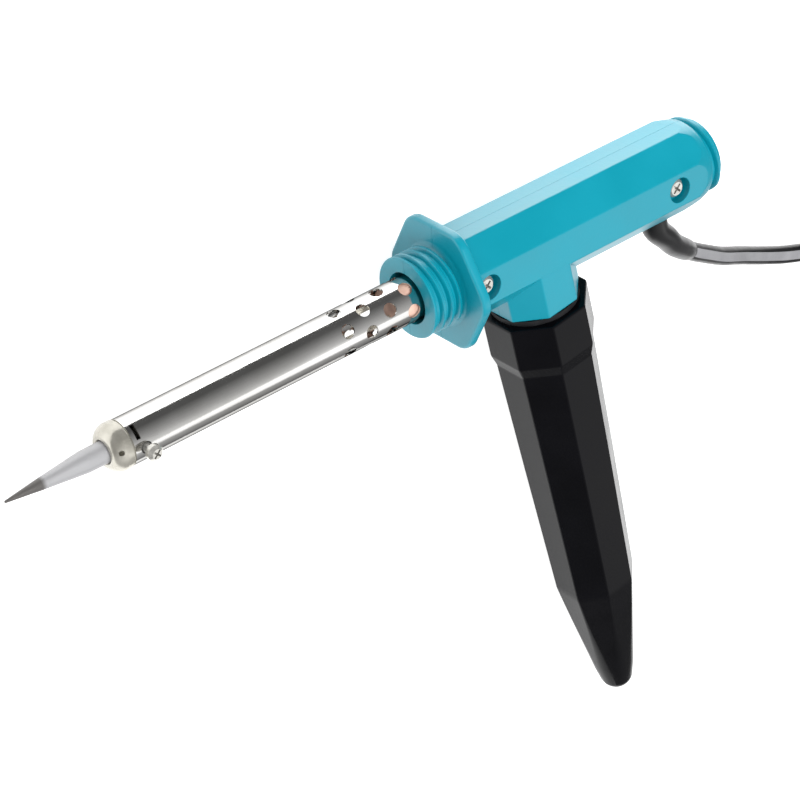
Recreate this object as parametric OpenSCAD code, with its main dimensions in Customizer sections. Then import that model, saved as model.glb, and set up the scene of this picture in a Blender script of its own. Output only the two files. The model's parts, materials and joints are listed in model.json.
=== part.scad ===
// Two-way soldering iron: a straight handle whose barrel cap also screws on as a pistol grip.
// Every piece is drawn on the tool's own axes, X along the barrel to the tip, Y down the grip,
// Z out of the side with the screw heads, then laid on its side by rest().

/* [Handle] */
// Distance across the flats of the eight-sided handle
body_af = 26.8; // [24:0.2:34]
// From the grip's axis forward to the flange
body_front = 29.2; // [27:0.2:40]
// From the grip's axis back to the rear shoulder
body_rear = 65; // [62:0.5:90]
// Wall of the moulded shells
wall = 2.4; // [1.8:0.1:3]
// Bevel that turns the rear end from eight-sided to round
rear_bevel = 8; // [4:0.5:12]

/* [Flange and threads] */
// Distance across the flats of the anti-roll flange
flange_af = 37.6; // [32:0.2:48]
// Thickness of the anti-roll flange
flange_t = 3.2; // [2:0.1:5]
// Rounding of the flange's corners
flange_round = 7; // [3:0.5:12]
// Length of the threaded front collar
collar_len = 10; // [8:0.5:16]
// Length of the threaded rear end
rear_len = 5.2; // [4:0.1:10]
// Crest diameter of all three threads
thread_d = 25; // [22:0.2:26]
// Height of a thread ridge
thread_h = 1.2; // [0.8:0.1:1.6]
// Distance between thread ridges
pitch = 3; // [2.5:0.1:4]
// Gap between the grip's thread and the threads that it fits
thread_gap = 0.4; // [0.35:0.05:0.6]

/* [Grip] */
// Lean of the grip away from square to the barrel
rake = 8.4; // [0:0.2:15]
// From the barrel's axis to the end of the side boss
boss_reach = 19.4; // [18:0.2:26]
// Length of the threaded spigot under the boss
spigot_len = 11.5; // [8:0.5:14]
// Length of the grip from mouth to nose
grip_len = 158.4; // [150:0.5:190]
// Length of the grip's wide mouth
grip_mouth = 10.4; // [8:0.2:20]
// Length of the step between the mouth and the long part
grip_step = 4.2; // [2:0.1:8]
// From the mouth to the start of the tapered end
grip_straight = 110; // [90:1:120]
// Distance across the flats of the grip's mouth
grip_mouth_af = 29; // [28.6:0.1:32]
// Distance across the flats just under the step
grip_af = 27.2; // [24:0.1:28]
// Distance across the flats where the tapered end starts
grip_low_af = 24; // [20:0.1:26]
// Radius of the rounded nose
grip_nose_r = 5.4; // [3:0.1:8]
// Wall of the grip below its mouth
grip_wall = 2.6; // [1.6:0.1:3.2]
// Thickness of the rubber ring in the grip's mouth
ring_t = 1.8; // [1.2:0.1:2.6]

/* [Barrel] */
// Outside diameter of the barrel tube
barrel_d = 13.8; // [12:0.1:15]
// Wall of the barrel tube
barrel_wall = 0.5; // [0.4:0.05:0.8]
// From the grip's axis to the barrel's front end
barrel_end = 143; // [120:0.5:150]
// Diameter of a vent hole
vent_d = 4.2; // [3:0.1:5]
// Distance between rows of vent holes
vent_step = 7.6; // [6:0.1:10]
// Rows of vent holes
vent_rows = 4; // [2:1:5]
// Vent holes in a row
vent_count = 6; // [4:1:8]
// Outside diameter of the nose bush
nose_d = 15.2; // [13:0.1:17]
// Length of the nose bush in front of the barrel
nose_len = 6; // [4:0.1:10]

/* [Tip] */
// Diameter of the tip's shaft
tip_d = 6.5; // [5:0.1:8]
// Length of tip in front of the nose bush
tip_out = 31.5; // [24:0.5:45]
// Length of the bare shaft in front of the nose bush
tip_bare = 6; // [3:0.5:14]
// Length of the plated point
point_len = 11.8; // [6:0.1:16]
// Diameter where the plated point starts
point_d = 3.6; // [2.4:0.1:4.6]
// Length of tip held inside the heater
tip_in = 52; // [40:1:60]
// Head diameter of the screw that holds the tip
tip_screw_head = 4.8; // [4:0.1:6]
// How far that screw's head stands off the barrel
tip_screw_stand = 2.6; // [1:0.1:5]

/* [Screws and cord] */
// Head diameter of the shell screws
screw_head = 5.8; // [5:0.1:6.5]
// Shank diameter of the shell screws
screw_d = 3; // [2.4:0.1:3.2]
// Diameter of the recess around a shell screw's head
recess_d = 7.8; // [7:0.1:9]
// From the grip's axis to the front shell screw
screw_front = 23.6; // [22:0.1:24]
// From the grip's axis to the rear shell screw
screw_rear = 50.9; // [48:0.1:54]
// Width of the oval cord
cord_w = 6; // [5:0.1:7]
// Thickness of the oval cord
cord_t = 4.2; // [3:0.1:5]
// From the grip's axis back to the cord's way out
cord_back = 51.5; // [48:0.5:58]

/* [Hidden] */

eps = 0.01;
round_fn = 96;
c8 = cos(22.5);
thread_r = thread_d / 2;
root_r = thread_r - thread_h;
flange_x = body_front + flange_t;
collar_x = flange_x + collar_len;
rear_x = -body_rear - rear_len;
nose_x = barrel_end + nose_len;
tip_x = nose_x + tip_out;
point_tip_r = 0.4;
shell_in = body_af / 2 - wall;
lip_h = 0.7;
// The boss's flats lie a hair under the body's, so that the two never share a plane
boss_af = body_af - 0.06;
flange_corner = (flange_af / 2 - flange_round) / cos(30) + flange_round;

// How the tool lies: on the nose bush's rim, on the flange's lowest corner and on the grip's lower edge
nose_edge = 1.4;
rest_dx = nose_x - nose_edge - flange_x;
rest_dz = flange_corner - nose_d / 2 + nose_edge;
rest_pitch = atan2(rest_dz, rest_dx) - asin(nose_edge / norm([rest_dx, rest_dz]));
grip_low_y = boss_reach + ring_t + grip_straight;
low_side = grip_low_af / 2 / c8 * sin(22.5);
low_x = -sin(rake) * grip_low_y + cos(rake) * low_side;
low_y = cos(rake) * grip_low_y + sin(rake) * low_side;
floor_z = -flange_x * sin(rest_pitch) - flange_corner * cos(rest_pitch);
low_h = -low_x * sin(rest_pitch) - grip_low_af / 2 * cos(rest_pitch) - floor_z;
rest_roll = atan2(low_h, low_y);
// Middle of the tool's box as it lies, which is the origin in plan
function rest_y(p) =
    p.y * cos(rest_roll) + (p.z * cos(rest_pitch) - p.x * sin(rest_pitch) - floor_z) * sin(rest_roll);
nose_centre = boss_reach + ring_t + grip_len - grip_nose_r;
grip_far_y = rest_y([-sin(rake) * nose_centre, cos(rake) * nose_centre, 0]) + grip_nose_r;
flange_near_y = rest_y([flange_x, -flange_af / 2, -flange_af / 2 * tan(30) * 0.75]);
mid_x = ((tip_x + rear_x) * cos(rest_pitch) - thread_r * sin(rest_pitch)) / 2;
mid_y = (grip_far_y + flange_near_y) / 2;

// A point of the tool as it lies
function rested(p) = [
    p.x * cos(rest_pitch) + p.z * sin(rest_pitch) - mid_x,
    rest_y(p) - mid_y,
    (p.z * cos(rest_pitch) - p.x * sin(rest_pitch) - floor_z) * cos(rest_roll) - p.y * sin(rest_roll)
];

module rest() {
    translate([-mid_x, -mid_y, 0])
        rotate([-rest_roll, 0, 0])
            translate([0, 0, -floor_z])
                rotate([0, rest_pitch, 0])
                    children();
}

// Local Z along the barrel, local Y out of the screw side
module on_barrel(x = 0) {
    translate([x, 0, 0]) rotate([90, 0, 90]) children();
}

// Local Z down the grip, local Y out of the screw side
module on_grip(y = 0) {
    rotate([90, 0, 180 + rake]) translate([0, 0, y]) children();
}

module octagon(af) {
    rotate(22.5) circle(r = af / 2 / c8, $fn = 8);
}

// One ridge of a thread, as half a turn that rises half a pitch; over runs its ends past the half
module half_turn(r_root, h, wide, crest, z, side, over) {
    tilt = atan2(pitch / 4, r_root + h) * side;
    root = 0.6;
    foot = wide + root * (wide - crest) / h;
    translate([0, 0, z])
        rotate([0, tilt, 0])
            rotate((side > 0 ? 0 : 180) - over)
                rotate_extrude(angle = 180 + 2 * over, $fn = round_fn)
                    polygon([
                        [r_root - root, -foot / 2], [r_root + h, -crest / 2],
                        [r_root + h, crest / 2], [r_root - root, foot / 2]
                    ]);
}

// The half turns of a thread on one side of the parting plane, first ridge at z
module ridges(z, turns, side, grow = 0, over = 0) {
    for (i = [0 : turns - 1])
        half_turn(root_r, thread_h + grow, pitch * 0.62 + 2 * grow, pitch * 0.3 + grow,
            z + i * pitch + (side > 0 ? 0 : pitch / 2), side, over);
}

collar_turns = floor((collar_len - 0.6) / pitch);
rear_turns = max(1, floor((rear_len - 1.6) / pitch));
spigot_turns = floor((spigot_len - 2) / pitch);
spigot_start = boss_reach + ring_t + 1.2;

module flange_outline() {
    hull()
        for (a = [0 : 60 : 300])
            rotate(a + 90) translate([flange_corner - flange_round, 0]) circle(r = flange_round, $fn = 48);
}

// Outside of the handle before it is split
module handle_outside() {
    on_barrel(-body_rear + rear_bevel) linear_extrude(body_front + body_rear - rear_bevel) octagon(body_af);
    intersection() {
        on_barrel(-body_rear) linear_extrude(rear_bevel + eps) octagon(body_af);
        on_barrel(-body_rear) cylinder(r1 = thread_r + 0.3, r2 = body_af / 2 / c8 + 0.3, h = rear_bevel + eps,
            $fn = round_fn);
    }
    on_barrel(rear_x) cylinder(r = root_r, h = rear_len + 1, $fn = round_fn);
    on_barrel(rear_x) cylinder(r1 = root_r, r2 = root_r + lip_h, h = 0.8, $fn = round_fn);
    on_barrel(body_front) linear_extrude(flange_t) flange_outline();
    on_barrel(flange_x - 1) cylinder(r = root_r, h = collar_len + 1, $fn = round_fn);
    on_barrel(collar_x - 0.8) cylinder(r1 = root_r + lip_h, r2 = root_r, h = 0.8, $fn = round_fn);
    on_grip() linear_extrude(boss_reach) octagon(boss_af);
    on_grip() cylinder(r = root_r, h = boss_reach + ring_t + spigot_len, $fn = round_fn);
}

cavity_front = body_front - 3;
barrel_hole = barrel_d / 2 + 0.15;
plate_d = 19;
plate_t = 1.2;
plate_x = body_front + 1;
boot_x = -cord_back;
boot_neck_d = 8;
spigot_bore = root_r - 2.2;

// Hollow of the handle before it is split
module handle_inside() {
    on_barrel(-body_rear + 1) linear_extrude(body_front + body_rear - 1 - 3) octagon(body_af - 2 * wall);
    on_barrel(rear_x + wall) cylinder(r = root_r - wall, h = rear_len + 2, $fn = round_fn);
    on_barrel(cavity_front - 1) cylinder(r = barrel_hole, h = collar_x - cavity_front + 2, $fn = round_fn);
    on_barrel(plate_x) cylinder(r = plate_d / 2 + 0.1, h = plate_t + 0.1, $fn = round_fn);
    on_barrel(collar_x - 3) cylinder(r = barrel_hole + 1.6, h = 4, $fn = round_fn);
    on_grip(3) cylinder(r = spigot_bore, h = boss_reach + ring_t + spigot_len - 3 + 1, $fn = round_fn);
    translate([boot_x, 0, 0]) rotate([-90, 0, 0]) cylinder(r = boot_neck_d / 2, h = body_af, $fn = round_fn);
}

post_r = screw_d / 2 + 1.6;
screw_seat = body_af / 2 - 3.4;

// Half of the handle on one side of the parting plane; side 1 carries the screw heads
module half_shell(side) {
    screws = [screw_front, -screw_rear];
    difference() {
        union() {
            intersection() {
                difference() {
                    handle_outside();
                    handle_inside();
                }
                translate([-150, -100, side > 0 ? 0 : -50]) cube([300, 200, 50]);
            }
            on_barrel() ridges(collar_x - 0.8 - pitch * (collar_turns - 0.4), collar_turns, side);
            on_barrel() ridges(rear_x + 1.6, rear_turns, side);
            on_grip() ridges(spigot_start, spigot_turns, side);
            for (x = screws)
                translate([x, 0, side > 0 ? 0 : -shell_in - 1])
                    cylinder(r = post_r, h = shell_in + 1, $fn = round_fn);
            if (side < 0)
                for (y = clamp_ys)
                    translate([clamp_x, y, -shell_in - 1]) cylinder(r = clamp_post_r, h = shell_in + 2, $fn = 48);
            if (side > 0)
                for (x = screws)
                    translate([x, 0, screw_seat - 1.6])
                        cylinder(r = recess_d / 2 + 1.2, h = shell_in + 2.6 - screw_seat, $fn = round_fn);
        }
        if (side < 0)
            for (y = clamp_ys)
                translate([clamp_x, y, -9]) cylinder(r = clamp_screw_d / 2, h = 12, $fn = 48);
        for (x = screws) {
            if (side > 0) {
                translate([x, 0, screw_seat]) cylinder(r = recess_d / 2, h = 10, $fn = round_fn);
                translate([x, 0, -1]) cylinder(r = screw_d / 2 + 0.2, h = body_af, $fn = round_fn);
            } else
                translate([x, 0, -8]) cylinder(r = screw_d / 2, h = 9, $fn = round_fn);
        }
    }
}

module right_shell() {
    color("darkturquoise") rest() half_shell(1);
}

module left_shell() {
    color("darkturquoise") rest() half_shell(-1);
}

// Pan head, cross recess and shank, drawn head up with the head's seat at z = 0
module cross_screw(head_d, head_h, shank_d, shank_l) {
    difference() {
        union() {
            cylinder(r = head_d / 2, h = head_h * 0.6, $fn = round_fn);
            translate([0, 0, head_h * 0.6])
                cylinder(r1 = head_d / 2, r2 = head_d / 2 - head_h * 0.4, h = head_h * 0.4, $fn = round_fn);
            translate([0, 0, -shank_l]) cylinder(r = shank_d / 2, h = shank_l + eps, $fn = round_fn);
        }
        for (a = [0, 90])
            rotate(a + 45) translate([-head_d * 0.3, -head_d * 0.06, head_h * 0.4])
                cube([head_d * 0.6, head_d * 0.12, head_h]);
    }
}

module shell_screws() {
    color("silver") rest()
        for (x = [screw_front, -screw_rear])
            translate([x, 0, screw_seat]) cross_screw(screw_head, 2, screw_d, screw_seat + 7.5);
}

barrel_back = body_front - 1;
vent_x = collar_x + 4;

module barrel() {
    color("gainsboro") rest() difference() {
        on_barrel(barrel_back) cylinder(r = barrel_d / 2, h = barrel_end - barrel_back, $fn = round_fn);
        on_barrel(barrel_back - 1)
            cylinder(r = barrel_d / 2 - barrel_wall, h = barrel_end - barrel_back + 2, $fn = round_fn);
        for (row = [0 : vent_rows - 1])
            for (i = [0 : vent_count - 1])
                translate([vent_x + row * vent_step, 0, 0])
                    rotate([(i + (row % 2) / 2) * 360 / vent_count, 0, 0]) translate([0, 0, barrel_d / 4])
                        cylinder(r = vent_d / 2, h = barrel_d / 2, $fn = round_fn);
        translate([tip_screw_x, 0, barrel_d / 4])
            cylinder(r = tip_screw_d / 2 + 0.3, h = barrel_d / 2, $fn = round_fn);
        rotate([45, 0, 0]) translate([barrel_end - 2.6, -2.2, barrel_d / 4]) cube([1.3, 4.4, barrel_d / 2]);
    }
}

// Steel plate on the barrel's back end, held in a groove between the shells
module barrel_plate() {
    color("silver") rest() difference() {
        on_barrel(plate_x + 0.05) cylinder(r = plate_d / 2, h = plate_t, $fn = round_fn);
        on_barrel(plate_x - 1) cylinder(r = barrel_d / 2, h = plate_t + 2, $fn = round_fn);
    }
}

tip_screw_d = 3;
tip_screw_x = barrel_end - 3.6;
bush_in = 10;
tip_bore = tip_d / 2 + 0.05;

// Bush that closes the barrel's front end and guides the tip
module nose_bush() {
    color("silver") rest() difference() {
        on_barrel() rotate_extrude($fn = round_fn)
            difference() {
                union() {
                    translate([0, barrel_end]) square([nose_d / 2 - nose_edge, nose_len]);
                    translate([0, barrel_end]) square([nose_d / 2, nose_len - nose_edge]);
                    translate([nose_d / 2 - nose_edge, nose_x - nose_edge])
                        circle(r = nose_edge, $fn = round_fn);
                    translate([0, barrel_end - bush_in]) square([barrel_d / 2 - barrel_wall, bush_in + 1]);
                }
                translate([-10, 0]) square([10 + tip_bore, 200]);
            }
        translate([tip_screw_x, 0, 0]) cylinder(r = tip_screw_d / 2 + 0.05, h = barrel_d, $fn = round_fn);
        rotate([-10, 0, 0]) translate([nose_x - 3.2, 0, tip_d / 2 + 1.6])
            cylinder(r = 0.9, h = nose_d, $fn = round_fn);
    }
}

core_back = nose_x - tip_in - 3;
core_end = barrel_end - bush_in - 0.5;
core_d = tip_d + 2.6;

// Ceramic tube that the heating wire is wound on
module heater_core() {
    color("linen") rest() difference() {
        union() {
            on_barrel(core_back) cylinder(r = core_d / 2, h = core_end - core_back, $fn = round_fn);
            for (x = [core_back, core_end - 2])
                on_barrel(x) cylinder(r = barrel_d / 2 - barrel_wall - 0.4, h = 2, $fn = round_fn);
        }
        on_barrel(core_back + 2) cylinder(r = tip_d / 2 + 0.3, h = core_end - core_back, $fn = round_fn);
        for (a = [0, 180])
            on_barrel(core_back - 1) rotate(a) translate([core_d / 2 - 1, -1]) cube([1.2, 2, 4]);
    }
}

wire_r = 0.25;
winding_turns = 22;

module heater_winding() {
    step = (core_end - core_back - 10) / winding_turns;
    color("dimgray") rest()
        for (i = [0 : winding_turns - 1])
            on_barrel(core_back + 5 + i * step)
                rotate_extrude($fn = 48) translate([core_d / 2 + wire_r, 0]) square(wire_r * 2, center = true);
}

module mica_sleeve() {
    color("tan") rest() difference() {
        on_barrel(core_back + 2.2)
            cylinder(r = core_d / 2 + 1.3, h = core_end - core_back - 4.4, $fn = round_fn);
        on_barrel(core_back)
            cylinder(r = core_d / 2 + 0.9, h = core_end - core_back, $fn = round_fn);
    }
}

block_x = barrel_back + 4;
block_len = 18;

// Ceramic block with two bores that insulates the heater's leads inside the collar
module terminal_block() {
    color("rosybrown") rest() difference() {
        on_barrel(block_x) cylinder(r = barrel_d / 2 - barrel_wall - 0.4, h = block_len, $fn = round_fn);
        for (s = [-1, 1])
            translate([0, s * lead_y, 0]) on_barrel(block_x - 1)
                cylinder(r = lead_d / 2 + 0.1, h = block_len + 2, $fn = round_fn);
    }
}

lead_y = 3.4;
lead_d = 1.6;
crimp_x = 4;
crimp_len = 9;
crimp_d = 2.8;

// Heater leads in glass sleeving, from the winding back to the crimps
module lead_wires() {
    spread = 6.2;
    color("ivory") rest()
        for (s = [-1, 1])
            wire([
                [core_back - 0.1, s * lead_y, 0], [core_back - 6, s * lead_y, 0],
                [block_x + block_len, s * lead_y, 0],
                [block_x, s * lead_y, 0], [block_x - 4, s * (lead_y + 1), 0], [screw_front + 2, s * spread, 0],
                [screw_front - 6, s * spread, 0], [crimp_x + crimp_len, s * core_y, 0]
            ], lead_d);
}

core_y = 5;
core_d_in = 2;

// Crimped sleeves that join the leads to the cord's cores
module crimps() {
    color("lightgray") rest()
        for (s = [-1, 1])
            translate([0, s * core_y, 0]) on_barrel(crimp_x)
                cylinder(r = crimp_d / 2, h = crimp_len, $fn = round_fn);
}

clamp_x = -28;
clamp_ys = [-0.6, 9];
clamp_screw_d = 2.2;
clamp_post_r = 1.9;

// The cord's two insulated cores inside the handle
module core_wires() {
    color("black") rest()
        for (s = [-1, 1])
            wire([
                [crimp_x, s * core_y, 0], [crimp_x - 6, s * core_y, 0], [clamp_x + 12, 4.2 + s * 1.6, 0],
                [clamp_x + 4, 4.2 + s * 1.3, 0], [clamp_x - 4, 4.2 + s * 1.3, 0],
                [clamp_x - 12, 5 + s * 1.4, 0], [boot_x + 5 + s * 0.9, 6.8 + s * 1.1, 0],
                [boot_x + 1.2 + s * 1.4, 10.5, 0], [boot_x + s * 1.3, 14, 0]
            ], core_d_in);
}

// Fibre bar that pinches the cores against the left shell
module cord_clamp() {
    color("peru") rest() difference() {
        translate([clamp_x - 3, -3, 1.1]) cube([6, 13, 1.6]);
        for (y = clamp_ys)
            translate([clamp_x, y, 0]) cylinder(r = clamp_screw_d / 2 + 0.2, h = 5, $fn = 48);
    }
}

module clamp_screws() {
    color("silver") rest()
        for (y = clamp_ys)
            translate([clamp_x, y, 2.7]) cross_screw(3.6, 1.6, clamp_screw_d, 9);
}

function unit(v) = v / norm(v);
function ring_dir(p, i) = unit(p[min(i + 1, len(p) - 1)] - p[max(i - 1, 0)]);
function ring_side(p, i, up) = unit(cross(ring_dir(p, i), up));
function ring_points(p, i, w, t, n, up, taper) =
    let (side = ring_side(p, i, up), top = cross(side, ring_dir(p, i)))
    let (part = 1 + (taper - 1) * i / (len(p) - 1))
        [for (k = [0 : n - 1])
            p[i] + part * (side * w / 2 * cos(360 * k / n) + top * t / 2 * sin(360 * k / n))];

// A closed tube with an oval section, swept along a list of points
module sweep(p, w, t, n = 8, taper = 1, up = [0, 0, 1]) {
    last = (len(p) - 1) * n;
    polyhedron(
        points = [for (i = [0 : len(p) - 1]) each ring_points(p, i, w, t, n, up, taper)],
        faces = concat(
            [[for (k = [n - 1 : -1 : 0]) k]],
            [for (i = [0 : len(p) - 2]) for (k = [0 : n - 1]) let (j = (k + 1) % n)
                each [[i * n + k, i * n + j, i * n + n + k], [i * n + j, i * n + n + j, i * n + n + k]]],
            [[for (k = [0 : n - 1]) last + k]]
        )
    );
}

// A smooth curve through hand-placed points
function spline_at(a, b, c, d, u) =
    0.5 * (2 * b + (c - a) * u + (2 * a - 5 * b + 4 * c - d) * u * u + (3 * b - a - 3 * c + d) * u * u * u);
function smooth(p, steps) = concat(
    [for (i = [0 : len(p) - 2]) for (s = [0 : steps - 1])
        spline_at(p[max(i - 1, 0)], p[i], p[i + 1], p[min(i + 2, len(p) - 1)], s / steps)],
    [p[len(p) - 1]]);

module wire(points, d) {
    sweep(smooth(points, 3), d, d, 8);
}

// The free cord's way over the table, from the handle to the coil, in the part's own frame
cord_points = [
    [-105.3, -64.6, 28.3], [-106.6, -59, 27.6], [-111.3, -53.7, 26.8], [-116.8, -48, 25.1], [-127.2, -40.4, 21.4],
    [-137.6, -33.7, 17.7], [-149.9, -26.1, 13], [-164.5, -18.3, 8], [-180, -10.1, 4], [-194.6, -3.4, 2.4],
    [-210.1, 1.8, 2.2], [-226.6, 4.5, 2.3], [-242.5, 5, 2.7]
];
tail_points = [
    [-282.5, 45, 7], [-283.5, 54, 7], [-282.5, 64, 6.5], [-279.5, 74, 6.5], [-274.5, 84, 7], [-270.5, 92, 7]
];
// The cord keeps its shape and moves with the handle's exit; only its raised end follows the exit's height
cord_shift = rested([boot_x, body_af / 2, 0]) - cord_points[0];
function moved(p, lift) = p + [cord_shift.x, cord_shift.y, cord_shift.z * lift];
cord_route = [for (p = cord_points) moved(p, max(0, (p.z - 2.7) / (cord_points[0].z - 2.7)))];
tail_route = [for (p = tail_points) moved(p, 0)];
coil_centre = moved([-242.5, 45, 0.6], 0);
coil_inner = 25;
coil_outer = 43;
coil_high = 8.6;
tie_t = 0.5;
tie_w = 8;
boot_steps = 4;
plug_turn = -26.6;
plug_len = 34;
plug_w = 24;
plug_h = 14;
blade_gap = 12.7;
blade_w = 6.3;
blade_t = 1.5;
blade_len = 17;

// Moulded sleeve that the cord leaves through, held by a collar inside the shells
module cord_boot() {
    sleeve = smooth([for (i = [0 : boot_steps]) cord_route[i]], 3);
    color("black") {
        rest() translate([boot_x, 0, 0]) rotate([-90, 0, 0]) {
            translate([0, 0, shell_in - 2.6]) cylinder(r = boot_neck_d / 2 + 1.4, h = 1.6, $fn = round_fn);
            translate([0, 0, shell_in - 1.2]) cylinder(r = boot_neck_d / 2 - 0.1, h = wall + 2.2, $fn = round_fn);
        }
        sweep(sleeve, boot_neck_d, boot_neck_d, 12, taper = 0.86);
    }
}

module cord() {
    color("black") sweep(smooth([for (i = [boot_steps - 1 : len(cord_route) - 1]) cord_route[i]], 2),
        cord_w, cord_t, 10);
}

module cord_coil() {
    color("black") translate(coil_centre) rotate_extrude($fn = round_fn)
        translate([coil_inner, 0]) square([coil_outer - coil_inner, coil_high]);
}

// Strap around the coil's turns
module cord_tie() {
    color("dimgray") translate(coil_centre) rotate(-100) difference() {
        translate([coil_inner - tie_t - 0.1, -tie_w / 2, -tie_t])
            cube([coil_outer - coil_inner + 2 * tie_t + 0.4, tie_w, coil_high + 2 * tie_t + 0.1]);
        translate([coil_inner - 0.2, -tie_w, 0])
            cube([coil_outer - coil_inner + 0.4, 2 * tie_w, coil_high + 0.1]);
    }
}

module cord_tail() {
    color("black") sweep(smooth(tail_route, 2), cord_w, cord_t, 10);
}

module at_plug() {
    translate(tail_route[len(tail_route) - 1]) rotate(plug_turn) rotate([-90, 0, 0]) children();
}

module plug() {
    color("black") at_plug() difference() {
        hull() {
            translate([-plug_w / 2, -plug_h / 2, 8]) cube([plug_w, plug_h, plug_len - 8]);
            translate([-cord_w, -plug_h / 2 + 2, 0]) cube([cord_w * 2, plug_h - 4, 1]);
        }
        for (s = [-1, 1])
            translate([s * blade_gap / 2 - blade_t / 2, -blade_w / 2, plug_len - 10])
                cube([blade_t, blade_w, 11]);
    }
}

module plug_blades() {
    color("goldenrod") at_plug()
        for (s = [-1, 1])
            translate([s * blade_gap / 2 - blade_t / 2, -blade_w / 2, plug_len - 10]) difference() {
                cube([blade_t, blade_w, blade_len + 10]);
                translate([-1, blade_w / 2, blade_len + 6]) rotate([0, 90, 0])
                    cylinder(r = 1.5, h = 4, $fn = 48);
            }
}

module tip() {
    color("silver") rest() on_barrel() rotate_extrude($fn = round_fn) polygon([
        [0, nose_x - tip_in], [tip_d / 2 - 0.5, nose_x - tip_in], [tip_d / 2, nose_x - tip_in + 0.5],
        [tip_d / 2, nose_x + tip_bare], [point_d / 2, tip_x - point_len], [point_tip_r, tip_x - 0.3],
        [point_tip_r * 0.6, tip_x], [0, tip_x]
    ]);
}

module tip_screw() {
    seat = barrel_d / 2 + tip_screw_stand;
    color("silver") rest() translate([tip_screw_x, 0, seat])
        cross_screw(tip_screw_head, 2.2, tip_screw_d, seat - tip_d / 2 - 0.05);
}

module grip_ring() {
    color("black") rest() on_grip(boss_reach + 0.1) difference() {
        cylinder(r = body_af / 2 + 0.2, h = ring_t - 0.2, $fn = round_fn);
        translate([0, 0, -1]) cylinder(r = thread_r + 0.35, h = ring_t + 2, $fn = round_fn);
    }
}

thread_depth = spigot_len + 1.5;
grip_bore = root_r + thread_gap;
grip_inner = grip_af / 2 - grip_wall;
grip_low_inner = grip_low_af / 2 - grip_wall;
nose_inner = 2.2;
nose_wall = 4.4;

// Hollow of the grip: thread bore, then a long taper that also clears the hot barrel
module grip_hollow() {
    rotate_extrude($fn = round_fn) polygon([
        [0, -1], [grip_bore, -1], [grip_bore, thread_depth], [grip_inner, thread_depth + 0.6],
        [grip_low_inner, grip_straight], [nose_inner, grip_len - nose_wall], [0, grip_len - nose_wall]
    ]);
}

// Rounded outline that the eight flats of the tapered end run into
module grip_nose_round() {
    shoulder = grip_mouth_af / 2 / c8 + 0.1;
    low_shoulder = grip_low_af / 2 / c8 + 0.1;
    rotate_extrude($fn = round_fn) difference() {
        union() {
            polygon([
                [0, -1], [shoulder, -1], [shoulder, grip_mouth + grip_step],
                [low_shoulder + 1, grip_straight], [low_shoulder, grip_straight + 8],
                [grip_nose_r, grip_len - grip_nose_r * 0.9], [0, grip_len - grip_nose_r]
            ]);
            translate([0, grip_len - grip_nose_r]) circle(r = grip_nose_r, $fn = round_fn);
        }
        translate([-50, 0]) square([50, 300]);
    }
}

module grip_outside() {
    intersection() {
        rotate(22.5) rotate_extrude($fn = 8) polygon([
            [0, 0], [grip_mouth_af / 2 / c8, 0], [grip_mouth_af / 2 / c8, grip_mouth],
            [grip_af / 2 / c8, grip_mouth + grip_step], [grip_low_af / 2 / c8, grip_straight],
            [grip_nose_r, grip_len], [0, grip_len]
        ]);
        grip_nose_round();
    }
}

module grip() {
    color("#202226") rest() on_grip() difference() {
        translate([0, 0, boss_reach + ring_t]) difference() {
            grip_outside();
            grip_hollow();
        }
        for (side = [-1, 1])
            ridges(spigot_start - pitch, spigot_turns + (side > 0 ? 2 : 1), side, thread_gap, 4);
    }
}

right_shell();
left_shell();
shell_screws();
barrel();
barrel_plate();
nose_bush();
heater_core();
heater_winding();
mica_sleeve();
terminal_block();
lead_wires();
crimps();
cord_clamp();
clamp_screws();
core_wires();
cord_boot();
cord();
cord_coil();
cord_tie();
cord_tail();
plug();
plug_blades();
tip();
tip_screw();
grip_ring();
grip();
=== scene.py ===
import json
import math

import bmesh
import bpy
from mathutils import Matrix, Vector


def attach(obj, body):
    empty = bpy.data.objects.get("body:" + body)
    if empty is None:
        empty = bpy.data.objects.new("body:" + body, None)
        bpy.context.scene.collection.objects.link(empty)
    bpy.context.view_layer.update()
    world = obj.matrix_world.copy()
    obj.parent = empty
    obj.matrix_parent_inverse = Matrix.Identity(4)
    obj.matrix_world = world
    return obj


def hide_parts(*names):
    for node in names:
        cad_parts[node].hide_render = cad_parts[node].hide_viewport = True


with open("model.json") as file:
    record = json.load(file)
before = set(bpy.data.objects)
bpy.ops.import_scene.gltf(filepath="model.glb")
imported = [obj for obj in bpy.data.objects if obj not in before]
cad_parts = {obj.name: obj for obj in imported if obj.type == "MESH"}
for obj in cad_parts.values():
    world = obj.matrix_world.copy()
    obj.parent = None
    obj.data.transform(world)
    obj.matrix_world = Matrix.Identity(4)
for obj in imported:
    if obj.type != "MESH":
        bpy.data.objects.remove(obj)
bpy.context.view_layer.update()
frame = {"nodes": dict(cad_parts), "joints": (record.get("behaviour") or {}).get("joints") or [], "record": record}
nodes = frame["nodes"]
joints = {joint["name"]: joint for joint in frame["joints"]}
mountPlaces = {mount["name"]: mount["pos_m"] for mount in frame["record"]["mounts"]}
mm = 0.001
print("frame loaded")

# Camera, from above the screw side

camera = {
    "place": (0.50493, -0.46949, 0.61187),  # metres
    "turn": (-19.183, -44.831, 166.679),  # degrees
    "lens": 139.52,  # mm on a 36 mm sensor
}

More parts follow.
